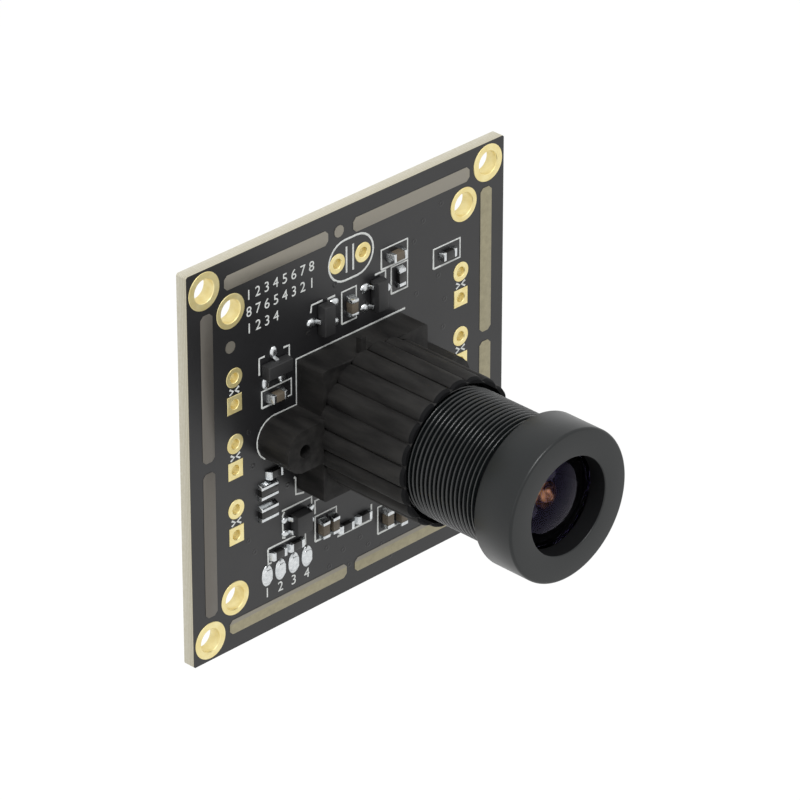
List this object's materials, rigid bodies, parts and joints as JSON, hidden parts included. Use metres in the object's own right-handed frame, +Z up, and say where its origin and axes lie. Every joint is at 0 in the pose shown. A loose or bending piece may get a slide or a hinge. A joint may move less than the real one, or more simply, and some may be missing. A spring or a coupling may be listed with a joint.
{
  "type": "camera module",
  "caption": "Square board camera: black circuit board with plated mounting holes, a moulded lens holder and a long threaded lens that turns to focus.",
  "frame": {"origin": "centre of the mounting holes on the back face of the board", "axes": "the lens looks along -Y, +Y is the outward normal of the board's back face, +X is to the right as seen from the lens side and +Z is up"},
  "size_m": [0.038, 0.0307, 0.038],
  "materials": {
    "solder_mask": "satin black solder mask on glass epoxy laminate",
    "gold": "gold plated copper",
    "bare_strip": "plated copper, dull",
    "solder": "tinned, bright",
    "resistor_ceramic": "black glaze on ceramic",
    "capacitor_ceramic": "fired brown ceramic",
    "mould_compound": "black filled epoxy",
    "sensor_ceramic": "dark ceramic",
    "silicon": "polished silicon",
    "optical_glass": "coated optical glass",
    "filter_glass": "coated filter glass",
    "holder_plastic": "moulded, glass filled",
    "lens_aluminium": "black anodised, turned",
    "screw_steel": "black zinc plated",
    "nylon": "natural nylon",
    "lid_metal": "nickel plated lid"
  },
  "bodies": {
    "module": {"board": "solder_mask", "outer_mount_rings": "gold", "inner_mount_rings": "gold", "through_hole_pads": "gold", "ground_strips": "bare_strip", "test_pads": "gold", "wire_pads": "solder", "front_resistors": "resistor_ceramic", "front_capacitors": "capacitor_ceramic", "wide_resistors": "resistor_ceramic", "front_end_caps": "solder", "transistors": "mould_compound", "transistor_leads": "solder", "regulator": "mould_compound", "regulator_leads": "solder", "sensor_package": "sensor_ceramic", "sensor_die": "silicon", "sensor_cover_glass": "optical_glass", "lens_holder": "holder_plastic", "ir_cut_filter": "filter_glass", "holder_screws": "screw_steel", "bridge_controller": "mould_compound", "controller_joints": "solder", "flash_memory": "mould_compound", "flash_leads": "solder", "crystal_base": "sensor_ceramic", "crystal_lid": "lid_metal", "surge_part": "mould_compound", "surge_part_leads": "solder", "back_resistors": "resistor_ceramic", "back_capacitors": "capacitor_ceramic", "back_end_caps": "solder", "wire_connector": "nylon", "connector_contacts": "solder", "connector_tabs": "solder"},
    "lens_glass": {"front_element": "optical_glass", "front_spacer": "lens_aluminium", "second_element": "optical_glass", "aperture_stop": "lens_aluminium", "middle_spacer": "lens_aluminium", "third_element": "optical_glass", "rear_spacer": "lens_aluminium", "rear_element": "optical_glass", "retaining_ring": "lens_aluminium"},
    "lens_barrel": {"lens_barrel": "lens_aluminium"}
  },
  "joints": [
    {"name": "focus_travel", "type": "slide", "parent": "module", "child": "lens_glass", "axis": [0, -1, 0], "range_m": [-0.0026, 0.0025]},
    {"name": "focus_turn", "type": "hinge", "parent": "lens_glass", "child": "lens_barrel", "pos_m": [0, -0.015, 0], "axis": [0, -1, 0], "range_deg": [-1872, 1800]}
  ],
  "couplings": [
    {"joint": "focus_turn", "follows": "focus_travel", "rad_per_m": 12566}
  ]
}
